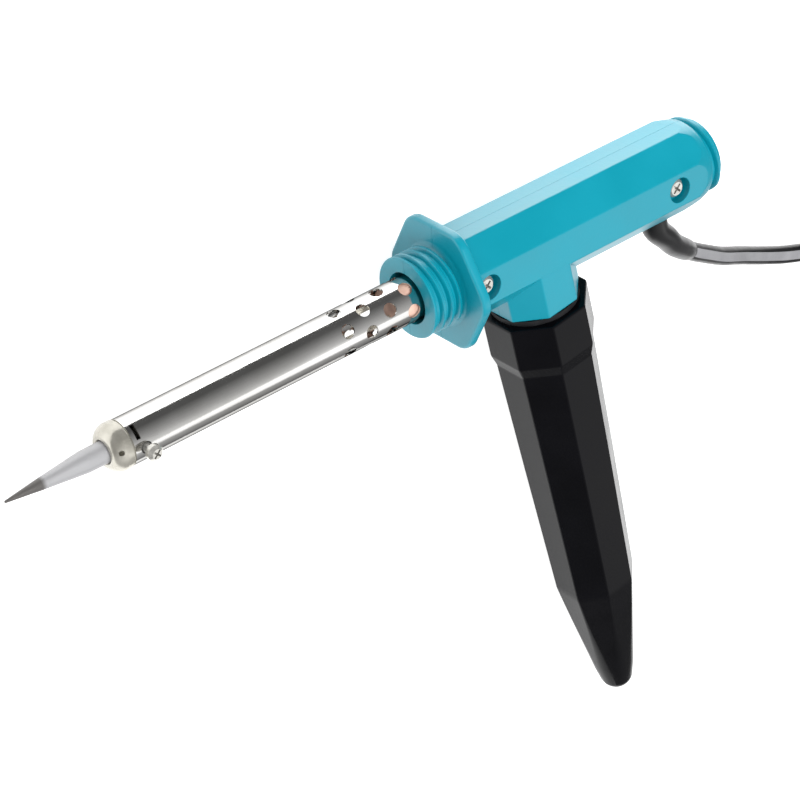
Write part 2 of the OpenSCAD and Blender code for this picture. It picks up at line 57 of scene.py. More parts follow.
cameraData = bpy.data.cameras.new("camera")
cameraData.lens = camera["lens"]
cameraData.sensor_width = 36
cameraData.clip_start = 0.01
cameraData.clip_end = 20
cameraObject = bpy.data.objects.new("camera", cameraData)
cameraObject.location = camera["place"]
cameraObject.rotation_euler = [math.radians(a) for a in camera["turn"]]
bpy.context.scene.collection.objects.link(cameraObject)
bpy.context.scene.camera = cameraObject
bpy.context.scene.view_settings.view_transform = "Standard"
print("camera placed")


# Node helpers

def linearColor(hexText, alpha=1.0):
    channels = [int(hexText[i:i + 2], 16) / 255 for i in (1, 3, 5)]
    straight = [c / 12.92 if c <= 0.04045 else ((c + 0.055) / 1.055) ** 2.4 for c in channels]
    return (*straight, alpha)


def addNode(tree, kind, settings=None, links=None):
    node = tree.nodes.new(kind)
    for name, value in (settings or {}).items():
        if isinstance(name, str) and hasattr(node, name):
            setattr(node, name, value)
        else:
            node.inputs[name].default_value = value
    for name, source in (links or {}).items():
        tree.links.new(source, node.inputs[name])
    return node


def newMaterial(name, shader):
    material = bpy.data.materials.new(name)
    material.use_nodes = True
    tree = material.node_tree
    tree.nodes.clear()
    surface = addNode(tree, "ShaderNodeBsdfPrincipled", shader)
    output = addNode(tree, "ShaderNodeOutputMaterial")
    tree.links.new(surface.outputs["BSDF"], output.inputs["Surface"])
    place = addNode(tree, "ShaderNodeTexCoord").outputs["Object"]
    return material, tree, surface, place


def addGrain(tree, surface, place, look):
    # Roughness that wanders in patches, and a fine bump over it; patch, fine and depth in millimetres
    cloud = addNode(tree, "ShaderNodeTexNoise", {"Scale": 1 / (look["patch"] * mm), "Detail": 3.0},
                    {"Vector": place})
    low, high = look["roughness"]
    wander = addNode(tree, "ShaderNodeMapRange",
                     {"interpolation_type": "SMOOTHSTEP", "From Min": 0.25, "From Max": 0.75,
                      "To Min": low, "To Max": high}, {"Value": cloud.outputs["Fac"]})
    tree.links.new(wander.outputs["Result"], surface.inputs["Roughness"])
    fine = addNode(tree, "ShaderNodeTexNoise", {"Scale": 1 / (look["fine"] * mm), "Detail": 2.0},
                   {"Vector": place})
    bump = addNode(tree, "ShaderNodeBump", {"Strength": look["strength"], "Distance": look["depth"] * mm},
                   {"Height": fine.outputs["Fac"]})
    tree.links.new(bump.outputs["Normal"], surface.inputs["Normal"])
    return cloud


def addTint(tree, surface, cloud, darker, lighter):
    ramp = addNode(tree, "ShaderNodeValToRGB", {}, {"Fac": cloud.outputs["Fac"]})
    ramp.color_ramp.interpolation = "EASE"
    for stop, position, color in zip(ramp.color_ramp.elements, (0.25, 0.75), (darker, lighter)):
        stop.position = position
        stop.color = linearColor(color)
    tree.links.new(ramp.outputs["Color"], surface.inputs["Base Color"])


def madeFinish(name, look):
    # Colour and roughness that wander together, under a fine bump
    material, tree, surface, place = newMaterial(name, look["shader"])
    addTint(tree, surface, addGrain(tree, surface, place, look), *look["colors"])
    return material


def innerFinish(name, colors, roughness, patch, metallic=0.0):
    # For pieces seen small or only through the vents
    return madeFinish(name, {"colors": colors, "shader": {"Metallic": metallic}, "roughness": roughness,
                             "patch": patch, "fine": patch / 8, "strength": 0.25, "depth": 0.2})


# Materials; the bumps are coarser than real mould and plating texture, so that they show

# Injection-moulded ABS from a polished tool: clean glossy flats with a very faint ripple
tealAbs = madeFinish("mouldedTealAbs", {
    "colors": ("#007b8c", "#038092"), "shader": {"IOR": 1.54}, "roughness": (0.29, 0.36),
    "patch": 22.2, "fine": 1.11, "strength": 0.12, "depth": 0.2,
})

# Black phenolic moulding: deep, hard shine with grey reflections along the edges
blackPhenolic = madeFinish("mouldedBlackPhenolic", {
    "colors": ("#050507", "#08080b"), "shader": {"IOR": 1.5, "Specular IOR Level": 0.1},
    "roughness": (0.2, 0.26), "patch": 16.7, "fine": 0.909, "strength": 0.1, "depth": 0.2,
})

# Moulded nitrile rubber: dull black with a dusty bloom
blackRubber = madeFinish("nitrileRubber", {
    "colors": ("#101011", "#1c1c1e"), "shader": {"IOR": 1.52}, "roughness": (0.55, 0.75),
    "patch": 3.33, "fine": 0.333, "strength": 0.3, "depth": 0.2,
})

# Extruded PVC sheath: satin black; the stripe of light along the cord's top is a painted highlight, added as a
# grey band below
blackVinyl = madeFinish("extrudedVinyl", {
    "colors": ("#070709", "#0c0c0e"), "shader": {"IOR": 1.53}, "roughness": (0.28, 0.4),
    "patch": 5.56, "fine": 0.625, "strength": 0.15, "depth": 0.2,
})

# Bright chrome plate on drawn steel tube: near mirror, its shine a little uneven, grey at a low angle
chrome = madeFinish("chromedSteel", {
    "colors": ("#d6d5d2", "#e9e8e6"), "shader": {"Metallic": 1.0, "Specular Tint": (0.15, 0.15, 0.15, 1)},
    "roughness": (0.07, 0.13), "patch": 14.3, "fine": 0.714, "strength": 0.08, "depth": 0.1,
})

# Nickel plate on a turned bush: softer and yellower than the chrome beside it
nickel = madeFinish("nickelPlate", {
    "colors": ("#a9a69c", "#c2bfb5"), "shader": {"Metallic": 0.7}, "roughness": (0.16, 0.26),
    "patch": 4.55, "fine": 0.455, "strength": 0.15, "depth": 0.1,
})

# Zinc-plated screw steel: grey-white, a little cloudy
zinc = madeFinish("zincPlate", {
    "colors": ("#b4b2ac", "#d0cec8"), "shader": {"Metallic": 0.7}, "roughness": (0.18, 0.26),
    "patch": 2.0, "fine": 0.333, "strength": 0.15, "depth": 0.1,
})

# Unglazed steatite: matt pinkish brown, seen through the vents
ceramic = innerFinish("unglazedSteatite", ("#b48f80", "#cdab9b"), (0.6, 0.8), 4.0)
# Rolled mica sheet: amber brown with a patchy gloss
mica = innerFinish("rolledMica", ("#6d5236", "#8f7049"), (0.35, 0.6), 5.0)
# Resistance wire after heating: dark, dulled metal
heaterWire = innerFinish("oxidisedHeaterWire", ("#4d4844", "#6b655f"), (0.4, 0.6), 2.5, metallic=1.0)
# Woven glass sleeving: off-white and dry
glassSleeve = innerFinish("wovenGlassSleeve", ("#cfcabb", "#e6e2d6"), (0.6, 0.8), 1.11)
# Pressed vulcanised fibre: red-brown board with a dull surface
fibreBoard = innerFinish("vulcanisedFibre", ("#6b3320", "#8a4a31"), (0.5, 0.7), 3.33)
# Extruded core insulation: dark grey, slightly satin
coreVinyl = innerFinish("coreInsulation", ("#1d1d1f", "#2b2b2e"), (0.35, 0.5), 3.33)
# Rolled brass blades: warm yellow with a smooth shine
brass = innerFinish("rolledBrass", ("#b08b45", "#cfae66"), (0.19, 0.26), 2.5, metallic=1.0)
# Painted highlight: a satin mid grey PVC band along the top middle of the cord, standing in for the soft stripe of
# light along the sheath
paintedHighlightStripe = innerFinish("paintedHighlightVinyl", ("#7d7d80", "#8a8a8d"), (0.3, 0.42), 5.56)
# Woven nylon strap: black without shine, its weave drawn as grain
strapWeave = innerFinish("wovenNylonStrap", ("#141415", "#232325"), (0.7, 0.9), 0.833)

tipLook = {
    "shaft": "#a9a9ab", "point": "#615f5d", "platingStarts": (22.8, 24.2),  # mm ahead of the nose mount
    "roughness": (0.42, 0.52), "patch": 4.0, "fine": 0.385, "strength": 0.2, "depth": 0.1,
}


def tipPlate():
    # Aluminised shaft, pale and satin, then a cone that ends in a darker iron-plated point
    material, tree, surface, place = newMaterial("platedTip", {"Metallic": 0.45})
    addGrain(tree, surface, place, tipLook)
    away = addNode(tree, "ShaderNodeVectorMath", {"operation": "SUBTRACT", 1: mountPlaces["nose_outside"]},
                   {0: place})
    along = addNode(tree, "ShaderNodeVectorMath",
                    {"operation": "DOT_PRODUCT", 1: joints["tip_slide"]["axis"]},
                    {0: away.outputs["Vector"]})
    first, last = tipLook["platingStarts"]
    change = addNode(tree, "ShaderNodeMapRange", {"From Min": first * mm, "From Max": last * mm},
                     {"Value": along.outputs["Value"]})
    colors = addNode(tree, "ShaderNodeMix", {"data_type": "RGBA"}, {0: change.outputs["Result"]})
    colors.inputs["A"].default_value = linearColor(tipLook["shaft"])
    colors.inputs["B"].default_value = linearColor(tipLook["point"])
    tree.links.new(colors.outputs["Result"], surface.inputs["Base Color"])
    return material


tipMetal = tipPlate()
print("materials made")


# Shapes are drawn in millimetres on the tool's own axes, X along the barrel, Z out of the screw side

handle = {
    "acrossFlats": 26.8,
    "edgeRound": 0.9,
    "front": 29.2,  # where the flange stands on the body
    "rear": -65.0,
    "rearEnd": -70.2,  # end of the stub with the rear thread
    "bevel": 8.0,  # length over which a cone cuts back the rear corners
    "bevelSpare": 0.3,  # how far that cone stands clear of the thread and of the corners
    "bodyFrom": -58.2,
    "noseMount": 145.2,
    "screws": (23.6, -50.9),
    "recess": 3.9,
    "seat": 10.0,
    "partingGap": 0.04,
}
handleThread = {"root": 11.3, "crest": 12.5, "sunk": 10.8, "round": 0.22}
threadPitch = 3.0

barrelAxis = Vector(joints["tip_slide"]["axis"]).normalized()
screwAxis = Vector(joints["tip_screw_turn"]["axis"]).normalized()
sideAxis = screwAxis.cross(barrelAxis)
gripAxis = Vector(joints["grip_turn"]["axis"]).normalized()
toolAxes = (barrelAxis, sideAxis, screwAxis)
toolOrigin = Vector(mountPlaces["nose_outside"]) - barrelAxis * handle["noseMount"] * mm
toolMatrix = Matrix([(*(axis[row] * mm for axis in toolAxes), toolOrigin[row]) for row in range(3)]
                    + [(0, 0, 0, 1)])
roomMatrix = Matrix.Scale(mm, 4)
rake = math.acos(max(-1.0, min(1.0, gripAxis.dot(sideAxis))))
gripTurn = Matrix.Rotation(rake, 4, "Z")


def onBarrel(station, u, v):
    return Vector((station, u, v))


def onGrip(station, u, v):
    return gripTurn @ Vector((-u, station, v))


def roundedCorners(sides, firstCorner, reach, corner, steps, sweep):
    # Outline with an arc of that radius at each corner, the arc's centre at reach from the middle
    points = []
    for k in range(sides):
        middle = firstCorner + k * 2 * math.pi / sides
        for i in range(steps + 1):
            a = middle + (i / steps - 0.5) * sweep
            points.append((reach * math.cos(middle) + corner * math.cos(a),
                           reach * math.sin(middle) + corner * math.sin(a)))
    return points


def eightSided(acrossFlats, corner, steps=4):
    # Octagon with rounded corners; corner = half of acrossFlats gives a circle
    reach = (acrossFlats / 2 - corner) / math.cos(math.pi / 8)
    return roundedCorners(8, math.pi / 8, reach, corner, steps, math.pi / 4)


def circleOf(radius):
    # With as many points as the octagons, so that a loft can run from one to the other
    return eightSided(2 * radius, radius)


def cutByCone(acrossFlats, coneRadius, steps=4):
    # Octagon whose corners are cut back by a cone of that radius
    if coneRadius <= acrossFlats / 2:
        return circleOf(coneRadius)
    flat = math.acos(acrossFlats / 2 / coneRadius)
    return roundedCorners(8, math.pi / 8, 0, coneRadius, steps, 2 * (math.pi / 8 - flat))


def hexSided(corner, rounding, inset, steps=8):
    # Outline of the anti-roll flange, corners up and down
    return roundedCorners(6, math.pi / 2, corner - rounding, rounding - inset, steps, math.pi / 3)


def circle(radius, count):
    return [(radius * math.cos(2 * math.pi * i / count), radius * math.sin(2 * math.pi * i / count))
            for i in range(count)]


def addSkin(shape, rings):
    # Faces between neighbouring rings of points, closed at both ends
    count = len(rings[0])
    for a, b in zip(rings, rings[1:]):
        for i in range(count):
            j = (i + 1) % count
            shape.faces.new((a[i], a[j], b[j], b[i]))
    shape.faces.new(rings[0][::-1])
    shape.faces.new(rings[-1])


def addLoft(shape, sections, toPlace):
    addSkin(shape, [[shape.verts.new(toPlace(station, u, v)) for u, v in outline]
                    for station, outline in sections])


def addLathe(shape, profile, toPlace, count=96):
    addLoft(shape, [(station, circle(radius, count)) for station, radius in profile], toPlace)


def addRidge(shape, thread, start, turns, toPlace):
    # One continuous ridge along a helix, rising and dying away over its first and last sixth of a turn
    perTurn = 72
    total = int(turns * perTurn)
    fade = perTurn / 6
    rings = []
    for i in range(total + 1):
        grow = max(0.02, min(1.0, i / fade, (total - i) / fade))
        a = 2 * math.pi * i / perTurn
        middle = start + threadPitch * i / perTurn
        crest = thread["root"] + (thread["crest"] - thread["root"]) * grow
        flank = ((0.98, thread["sunk"]), (0.93, thread["root"]), (0.5, crest - thread["round"] * grow),
                 (0.3, crest))
        section = [(-wide, radius) for wide, radius in flank] + list(flank[::-1])
        rings.append([shape.verts.new(toPlace(middle + wide, radius * math.cos(a), radius * math.sin(a)))
                      for wide, radius in section])
    addSkin(shape, rings)


def finishShape(shape, name, material, body, angle=32, matrix=toolMatrix):
    bmesh.ops.recalc_face_normals(shape, faces=shape.faces)
    mesh = bpy.data.meshes.new(name)
    shape.to_mesh(mesh)
    shape.free()
    mesh.transform(matrix)
    mesh.materials.append(material)
    for face in mesh.polygons:
        face.use_smooth = True
    mesh.set_sharp_from_angle(angle=math.radians(angle))
    piece = bpy.data.objects.new(name, mesh)
    bpy.context.scene.collection.objects.link(piece)
    weighted = piece.modifiers.new("flatFaces", "WEIGHTED_NORMAL")
    weighted.keep_sharp = True
    weighted.weight = 80
    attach(piece, body)
    return piece


def subtract(shape, cutters):
    # Cuts closed shapes out of another and hands back the result
    meshes = []
    for item in (shape, cutters):
        bmesh.ops.recalc_face_normals(item, faces=item.faces)
        mesh = bpy.data.meshes.new("cut")
        item.to_mesh(mesh)
        item.free()
        meshes.append(mesh)
    objects = [bpy.data.objects.new("cut", mesh) for mesh in meshes]
    for item in objects:
        bpy.context.scene.collection.objects.link(item)
    cut = objects[0].modifiers.new("cut", "BOOLEAN")
    cut.object = objects[1]
    cut.solver = "EXACT"
    bpy.context.view_layer.update()
    result = bpy.data.meshes.new_from_object(objects[0].evaluated_get(bpy.context.evaluated_depsgraph_get()))
    for item in objects:
        bpy.data.objects.remove(item)
    out = bmesh.new()
    out.from_mesh(result)
    return out


def giveFinish(name, material):
    nodes[name].data.materials.clear()
    nodes[name].data.materials.append(material)


# Cord, along the same route as its CAD solids, in millimetres on the frame's axes

cordSizes = {
    "wide": 6.0,
    "thick": 4.2,
    "length": 1.56,  # metres, measured along the middle
    "route": (
        (-105.3, -64.6, 28.3), (-106.6, -59, 27.6), (-111.3, -53.7, 26.8), (-116.8, -48, 25.1),
        (-127.2, -40.4, 21.4), (-137.6, -33.7, 17.7), (-149.9, -26.1, 13), (-164.5, -18.3, 8),
        (-180, -10.1, 4), (-194.6, -3.4, 2.4), (-210.1, 1.8, 2.2), (-226.6, 4.5, 2.3), (-242.5, 5, 2.7),
    ),
    "tail": ((-282.5, 45, 6.9), (-283.5, 54, 7), (-282.5, 64, 6.5), (-279.5, 74, 6.5), (-274.5, 84, 7),
             (-270.5, 92, 7)),
    "coilCentre": (-242.5, 45),
    "turnRadii": (40, 34, 28, 28, 34, 40),
    "lastTurn": 0.25,  # how far the coil runs on after its last full turn
    "crossing": 0.18,  # share of a turn in which the cord moves to the next radius
    "climb": 0.3,  # share of a turn in which it climbs to the second layer
    "layers": (2.7, 6.9),
    "steps": 5,  # points of the line for each point of the route
    "paintedHighlightStrips": (5, 6, 7, 8),  # strips of the outline, along the top middle, that carry the painted highlight stripe
    "sleeve": 4,  # route points that the strain relief covers
}


def smoothLine(points, steps):
    # Catmull-Rom curve through given points
    places = [Vector(p) for p in points]
    line = []
    for i in range(len(places) - 1):
        a, b, c, d = (places[max(0, min(len(places) - 1, k))] for k in (i - 1, i, i + 1, i + 2))
        for s in range(steps):
            u = s / steps
            line.append(0.5 * (2 * b + (c - a) * u + (2 * a - 5 * b + 4 * c - d) * u * u
                               + (3 * b - a - 3 * c + d) * u * u * u))
    line.append(places[-1])
    return line


def eased(t):
    t = max(0.0, min(1.0, t))
    return t * t * (3 - 2 * t)


def coilLine(sizes, perTurn=48):
    centre, radii, layers = sizes["coilCentre"], sizes["turnRadii"], sizes["layers"]
    crossing, climb = sizes["crossing"], sizes["climb"]
    turns = len(radii)
    line = []
    for i in range(1, int((turns + sizes["lastTurn"]) * perTurn)):
        turn = i / perTurn
        k = min(turns - 1, int(turn))
        step = eased((turn - k - 1 + crossing) / crossing) if k < turns - 1 else 0.0
        radius = radii[k] + (radii[min(turns - 1, k + 1)] - radii[k]) * step
        rise = eased((turn - turns / 2 + climb / 2) / climb)
        a = -math.pi / 2 - 2 * math.pi * turn
        line.append(Vector((centre[0] + radius * math.cos(a), centre[1] + radius * math.sin(a),
                            layers[0] + (layers[1] - layers[0]) * rise)))
    return line


def sweepTube(shape, line, outlineAt):
    # Skin of a flat cord: the outline's first axis stays level
    rings = []
    for i, place in enumerate(line):
        ahead = (line[min(i + 1, len(line) - 1)] - line[max(i - 1, 0)]).normalized()
        side = ahead.cross(Vector((0, 0, 1))).normalized()
        top = side.cross(ahead)
        rings.append([shape.verts.new(place + side * u + top * v) for u, v in outlineAt(i)])
    addSkin(shape, rings)


def squaredCircle(a, power):
    # Cosine and sine that keep their signs; a power below 1 pushes the outline towards a box
    return [math.copysign(abs(part) ** p, part) for part, p in zip((math.cos(a), math.sin(a)), power)]


def cordOutline(wide, thick, count=28):
    # Two-core sheath: round sides, nearly flat faces with a shallow groove between the cores
    points = []
    for i in range(count):
        u, v = squaredCircle(2 * math.pi * i / count, (0.85, 0.75))
        u *= wide / 2
        v *= thick / 2 * (1 - 0.1 * math.exp(-(u / (0.13 * wide)) ** 2))
        points.append((u, v))
    return points


sleeveEnd = cordSizes["sleeve"]
cordLine = (smoothLine(cordSizes["route"][:sleeveEnd], cordSizes["steps"])[:-1]
            + smoothLine(cordSizes["route"][sleeveEnd - 1:], cordSizes["steps"])
            + coilLine(cordSizes) + smoothLine(cordSizes["tail"], cordSizes["steps"]))
flatOutline = cordOutline(cordSizes["wide"], cordSizes["thick"])
cordShape = bmesh.new()
sweepTube(cordShape, cordLine, lambda i: flatOutline)
cordPiece = finishShape(cordShape, "cordSheath", blackVinyl, "handle", 50, roomMatrix)
cordPiece.data.materials.append(paintedHighlightStripe)
around = len(flatOutline)
# The top middle strips of the sheath take the grey painted highlight stripe
for face in cordPiece.data.polygons:
    if face.index % around in cordSizes["paintedHighlightStrips"] and face.index < around * (len(cordLine) - 1):
        face.material_index = 1
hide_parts("cord", "cord_coil", "cord_tail")

sleeve = {
    "root": 4.3,
    "end": 3.4,
    "flattenOver": 0.14,  # last share of its length, where it closes onto the cord
    "flatten": (0.12, 0.36),  # how much narrower and thinner its end is than round
    "count": 32,
    "steps": 12,
}


def sleevePiece():
    # Strain relief: a tapering sleeve whose end flattens onto the cord
    line = smoothLine(cordSizes["route"][:sleeveEnd + 1], sleeve["steps"])
    narrower, thinner = sleeve["flatten"]

    def outlineAt(i):
        t = i / (len(line) - 1)
        radius = sleeve["root"] + (sleeve["end"] - sleeve["root"]) * t
        closing = eased((t - 1 + sleeve["flattenOver"]) / sleeve["flattenOver"])
        return [(u * (1 - narrower * closing), v * (1 - thinner * closing))
                for u, v in circle(radius, sleeve["count"])]

    shape = bmesh.new()
    sweepTube(shape, line, outlineAt)
    return finishShape(shape, "strainRelief", blackVinyl, "handle", 50, roomMatrix)


sleeveMesh = sleevePiece()
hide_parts("cord_boot")

plug = {
    "place": (-270.5, 92, 7),
    "turn": -26.6,
    "length": 34.0,
    "wide": 24.0,
    "high": 14.0,
    "neck": (12.0, 9.0),  # width and height behind the cord's end
    "neckEdge": ((0, 2.0, 2.0), (0.4, 0.8, 0.8), (1.2, 0.2, 0.2)),  # station, narrower, thinner
    "bodyLength": 25.0,
    "stations": 14,
    "ribDepth": 0.5,
    "frontEdge": ((2.4, 0), (0.8, 0.5), (0, 2.0)),  # back from the front, smaller all round
}


def plugPiece():
    # Moulded plug: waisted body with finger ribs on both faces
    turn = Matrix.Rotation(math.radians(plug["turn"]), 4, "Z")
    place = Vector(plug["place"])
    neckWide, neckHigh = plug["neck"]
    bodyStart = plug["neckEdge"][-1][0]

    def toPlace(station, u, v):
        return place + turn @ Vector((u, station, v))

    def outline(wide, high, count=40):
        points = [squaredCircle(2 * math.pi * i / count, (0.45, 0.45)) for i in range(count)]
        return [(u * wide / 2, v * high / 2) for u, v in points]

    sections = [(station, outline(neckWide - narrower, neckHigh - thinner))
                for station, narrower, thinner in plug["neckEdge"]]
    for i in range(1, plug["stations"] + 1):
        t = i / plug["stations"]
        rib = plug["ribDepth"] if i % 2 and 2 < i < plug["stations"] - 1 else 0
        wide = neckWide + (plug["wide"] - neckWide) * eased(t * 1.15)
        high = neckHigh + (plug["high"] - neckHigh - 0.4) * eased(t * 1.3) - rib
        sections.append((bodyStart + plug["bodyLength"] * t, outline(wide, min(high, plug["high"]))))
    for back, smaller in plug["frontEdge"]:
        sections.append((plug["length"] - back, outline(plug["wide"] - smaller, plug["high"] - smaller)))
    shape = bmesh.new()
    addLoft(shape, sections, toPlace)
    return finishShape(shape, "mouldedPlug", blackVinyl, "handle", 40, roomMatrix)


plugMesh = plugPiece()
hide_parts("plug")

giveFinish("cord_tie", strapWeave)
giveFinish("plug_blades", brass)

print("cord laid")


# Handle shells

def handleBody():
    # Eight-sided body with its corners cut back by a cone at the rear, a stub for the rear thread, and the
    # screw recesses
    across, rear, rearEnd = handle["acrossFlats"], handle["rear"], handle["rearEnd"]
    root, spare = handleThread["root"], handle["bevelSpare"]
    cone = handleThread["crest"] + spare
    rise = (across / 2 / math.cos(math.pi / 8) + spare - cone) / handle["bevel"]
    stub = ((rearEnd, root - 0.8), (rearEnd + 0.25, root - 0.2), (rearEnd + 0.8, root), (rear - 0.4, root),
            (rear - 0.02, root + 0.3), (rear, cone - 0.35), (rear + 0.12, cone - 0.08))
    sections = [(station, circleOf(radius)) for station, radius in stub]
    for i in range(1, 13):
        station = rear + 0.35 + i * 0.5
        sections.append((station, cutByCone(across, cone + rise * (station - rear))))
    for station in (handle["bodyFrom"], handle["front"] + 1):
        sections.append((station, eightSided(across, handle["edgeRound"])))
    body = bmesh.new()
    addLoft(body, sections, onBarrel)

    recesses = bmesh.new()
    seat, radius, flat = handle["seat"], handle["recess"], across / 2
    profile = [(seat, radius - 0.1), (seat + 0.2, radius), (flat - 0.35, radius), (flat - 0.1, radius + 0.1),
               (flat + 0.02, radius + 0.35), (flat + 4, radius + 0.35)]
    for place in handle["screws"]:
        addLathe(recesses, profile, lambda station, u, v, place=place: Vector((place + u, v, station)), 64)
    return subtract(body, recesses)


boss = {
    "across": 26.74,
    "start": 1.0,
    "reach": 19.4,  # where the grip's mouth begins
    "spigot": 13.3,  # length of the threaded spigot past that
    "bore": 9.1,
    "boreFloor": 2.0,
    "ridge": (21.65, 3.1),  # start, turns
}


def bossShape():
    across, reach, edge, root = boss["across"], boss["reach"], handle["edgeRound"], handleThread["root"]
    end = reach + boss["spigot"]
    shape = bmesh.new()
    addLoft(shape, [
        (boss["start"], eightSided(across, edge)), (reach - 0.5, eightSided(across, edge)),
        (reach - 0.15, eightSided(across - 0.3, edge)), (reach, eightSided(across - 1, edge)),
        (reach, circleOf(root + 0.5)), (reach + 0.3, circleOf(root + 0.15)), (reach + 0.8, circleOf(root)),
        (end - 0.8, circleOf(root)), (end, circleOf(root - 0.8)), (end, circleOf(boss["bore"])),
        (reach + boss["boreFloor"], circleOf(boss["bore"])),
    ], onGrip)
    return shape


flange = {
    "corner": 20.625,
    "rounding": 7.0,
    "edge": ((0, 1.0), (0.1, 0.55), (0.35, 0.2), (0.8, 0), (2.4, 0), (2.85, 0.2), (3.1, 0.55), (3.2, 1.0)),
}


def flangeShape():
    # Six-sided flange that keeps the iron from rolling
    shape = bmesh.new()
    addLoft(shape, [(handle["front"] + at, hexSided(flange["corner"], flange["rounding"], inset))
                    for at, inset in flange["edge"]], onBarrel)
    return shape


collar = {
    "end": 43.45,
    "recess": 7.9,
    "recessFloor": 33.2,
    "barrelBore": 7.05,
    "ridge": (33.05, 2.95),  # start, turns
}


def collarShape():
    # Threaded collar: a fillet out of the flange, a full-height lip at its end, a recess around the barrel
    front, end, floor, recess = handle["front"], collar["end"], collar["recessFloor"], collar["recess"]
    root, crest = handleThread["root"], handleThread["crest"]
    shape = bmesh.new()
    addLathe(shape, [
        (front, 12), (front + 3.18, 13.3), (front + 3.3, 12.6), (front + 3.6, 11.9), (front + 4.1, 11.45),
        (front + 4.8, root), (end - 1.55, root), (end - 1.3, root + 0.5), (end - 0.95, crest - 0.15),
        (end - 0.55, crest), (end - 0.15, crest - 0.2), (end, crest - 0.7),
        (end, recess + 0.4), (end - 0.07, recess + 0.1), (end - 0.3, recess), (floor, recess),
        (floor - 0.2, collar["barrelBore"]), (front + 0.8, collar["barrelBore"]),
    ], onBarrel)
    return shape


rearRidge = (-68.75, 1.15)  # start, turns


def ridgeShape(ridge, toPlace):
    shape = bmesh.new()
    addRidge(shape, handleThread, *ridge, toPlace)
    return shape


def halfOf(parts, side):
    # The part of every shape on one side of the parting plane, with its cut face closed
    whole = bmesh.new()
    for part in parts:
        mesh = bpy.data.meshes.new("part")
        part.to_mesh(mesh)
        whole.from_mesh(mesh)
        bpy.data.meshes.remove(mesh)
    cut = bmesh.ops.bisect_plane(whole, geom=[*whole.verts, *whole.edges, *whole.faces],
                                 plane_co=(0, 0, side * handle["partingGap"]), plane_no=(0, 0, side),
                                 clear_inner=True)
    edges = [e for e in cut["geom_cut"] if isinstance(e, bmesh.types.BMEdge)]
    bmesh.ops.edgenet_fill(whole, edges=edges)
    return whole


shellParts = [handleBody(), bossShape(), flangeShape(), collarShape(), ridgeShape(collar["ridge"], onBarrel),
              ridgeShape(rearRidge, onBarrel), ridgeShape(boss["ridge"], onGrip)]
rightShell = finishShape(halfOf(shellParts, 1), "rightShell", tealAbs, "handle")
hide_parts("right_shell")
leftShell = finishShape(halfOf(shellParts, -1), "leftShell", tealAbs, "handle")
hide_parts("left_shell")
print("shells built")


# Grip

grip = {
    "mouth": 21.2,  # station where the grip starts, from the barrel's axis
    "length": 158.4,
    "outside": (  # from the mouth: station, across flats, corner radius
        (0, 29.9, 1.2), (0.1, 30.3, 1.1), (0.4, 30.62, 1.0), (0.9, 30.7, 1.0), (14.2, 30.7, 1.0),
        (14.6, 30.6, 1.0), (15.1, 30.4, 1.0), (18.2, 28.66, 0.9), (18.7, 28.52, 0.9), (19.2, 28.48, 0.9),
        (60, 26.6, 0.9), (108.5, 24.03, 0.9), (110, 23.95, 0.95), (111.5, 23.6, 1.0),
    ),
    "taper": 110.0,  # from here to its end the body narrows fast
    "taperHalf": (12.0, 4.99),  # half across flats at both ends of the taper
    "taperStep": 3.1,
    "cornerGrows": 4.4,  # corners soften towards the end
    "noseRound": 5.4,
    "endWall": 4.4,
    "bore": ((110, 9.4), (14, 10.95), (13, 12.9), (0.8, 12.9), (0.25, 13.0), (0, 13.4)),  # station, radius
    "thread": {"root": 12.9, "crest": 11.75, "sunk": 13.2, "round": -0.2},
    "ridge": (23.1, 3.2),  # start, turns
}


def gripOutside():
    length, nose, taper = grip["length"], grip["noseRound"], grip["taper"]
    wideHalf, narrowHalf = grip["taperHalf"]
    profile = list(grip["outside"])
    straightEnd = profile[-1][0]
    for i in range(1, 13):
        at = straightEnd + i * grip["taperStep"]
        half = wideHalf + (narrowHalf - wideHalf) * (at - taper) / (length - taper)
        profile.append((at, 2 * half, min(half, 1.0 + grip["cornerGrows"] * eased(i / 12) ** 1.5)))
    sections = [(at, eightSided(across, corner)) for at, across, corner in profile]
    for i in range(1, 10):
        a = math.radians(8 + i * 9)
        sections.append((length - nose + nose * math.sin(a), circleOf(max(0.05, nose * math.cos(a)))))
    return sections


def gripPiece():
    # The skin runs from the nose up the outside, over the mouth and down the inside
    floor = grip["length"] - grip["endWall"]
    inside = [(floor, 0.05), (floor, 2.2), *grip["bore"]]
    sections = gripOutside()[::-1] + [(at, circleOf(radius)) for at, radius in inside[::-1]]
    shape = bmesh.new()
    addLoft(shape, [(grip["mouth"] + at, outline) for at, outline in sections], onGrip)
    addRidge(shape, grip["thread"], *grip["ridge"], onGrip)
    return finishShape(shape, "pistolGrip", blackPhenolic, "grip")


gripMesh = gripPiece()
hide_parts("grip")
print("grip built")


# Nose bush

noseBush = {
    "radius": 7.15,
    "front": 149.0,
    "back": 142.9,
    "bore": 3.45,
    "boreDepth": 25.0,
    "nose": ((0, 2.5), (0.15, 2.2), (0.7, 1.5), (1.5, 0.8), (2.4, 0.3), (3.2, 0.06), (3.6, 0)),
    "groove": ((0.7, 0), (0.55, 0.1), (0.5, 0.45), (0.2, 0.45), (0.15, 0.2), (0.1, 0.16), (0.05, 0.9)),
    "hole": 0.75,
    "holeAt": 147.0,
    "holeTurn": -14.0,
}


